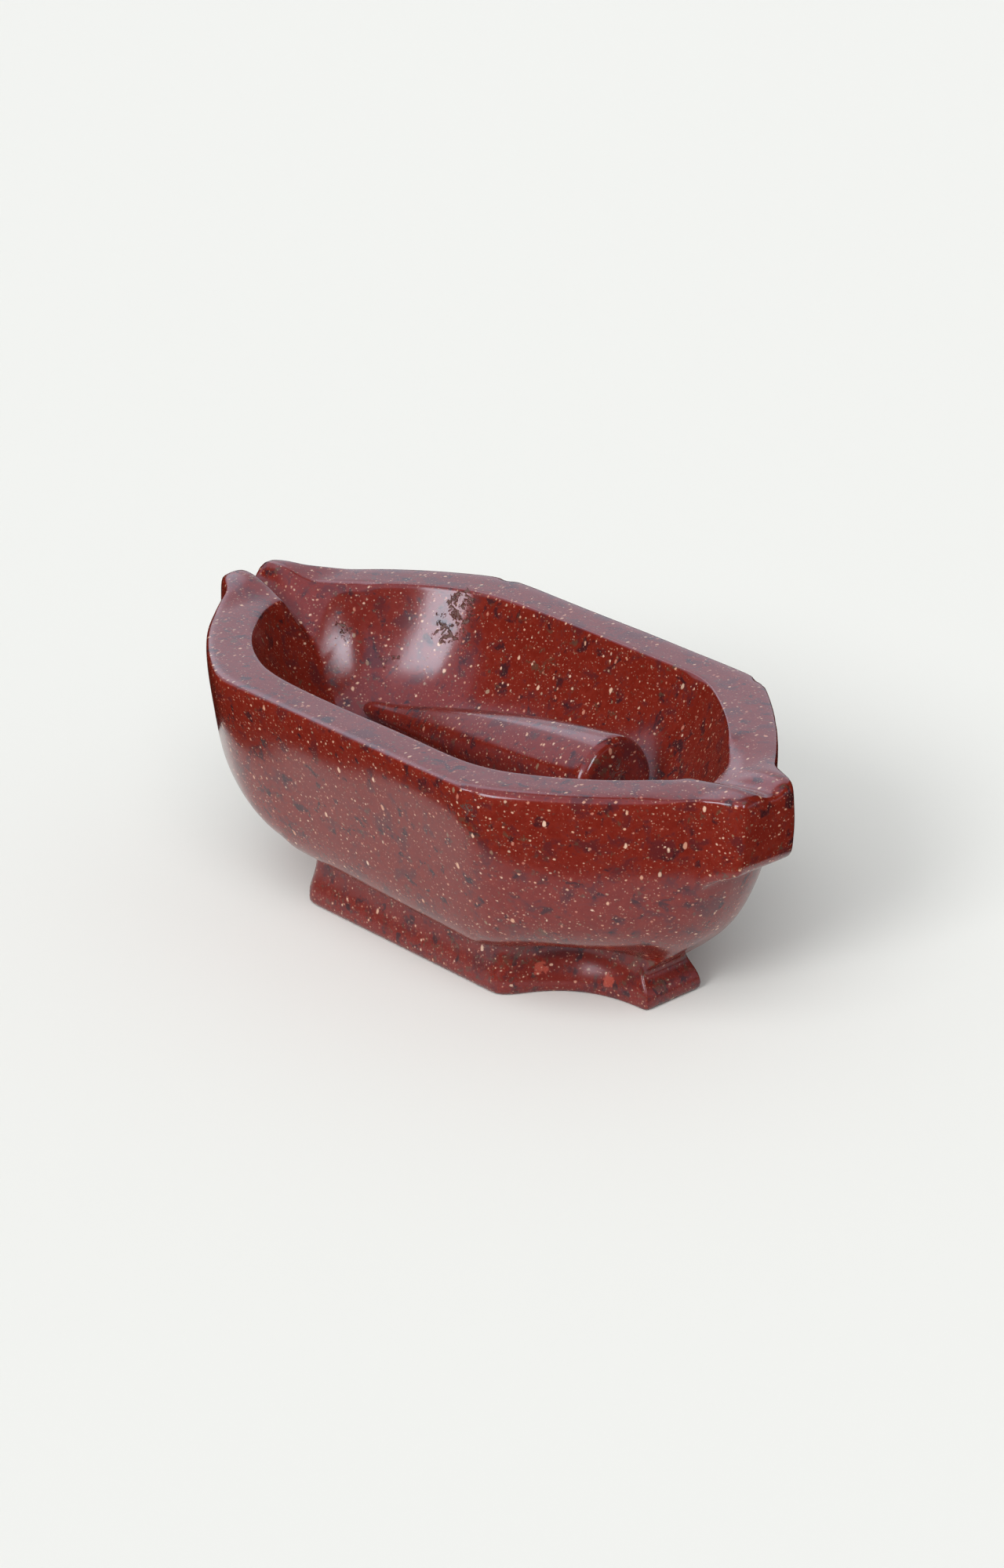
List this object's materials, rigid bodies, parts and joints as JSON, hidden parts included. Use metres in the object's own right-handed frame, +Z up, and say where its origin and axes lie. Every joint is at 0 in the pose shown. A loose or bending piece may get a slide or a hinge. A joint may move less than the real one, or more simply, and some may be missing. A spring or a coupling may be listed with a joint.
{
  "type": "mortar and pestle",
  "caption": "Boat-shaped footed stone mortar with a pour channel at each end and a loose, bullet-shaped stone pestle lying in its basin.",
  "frame": {"origin": "centre of the face the mortar stands on, under the middle of its length and width", "axes": "+X along the mortar towards the wider spout, which is the end the pestle's flat face looks at; +Y across it; +Z up"},
  "size_m": [0.2398, 0.1254, 0.0844],
  "materials": {
    "mortar_stone": "polished red porphyry with pale feldspar grains",
    "pestle_stone": "polished red porphyry with pale feldspar grains"
  },
  "bodies": {
    "mortar": {"mortar": "mortar_stone"},
    "pestle": {"pestle": "pestle_stone"}
  },
  "joints": [
    {"name": "pestle_lift", "type": "slide", "parent": "mortar", "child": "pestle", "axis": [0, 0, 1], "range_m": [0, 0.1]}
  ]
}
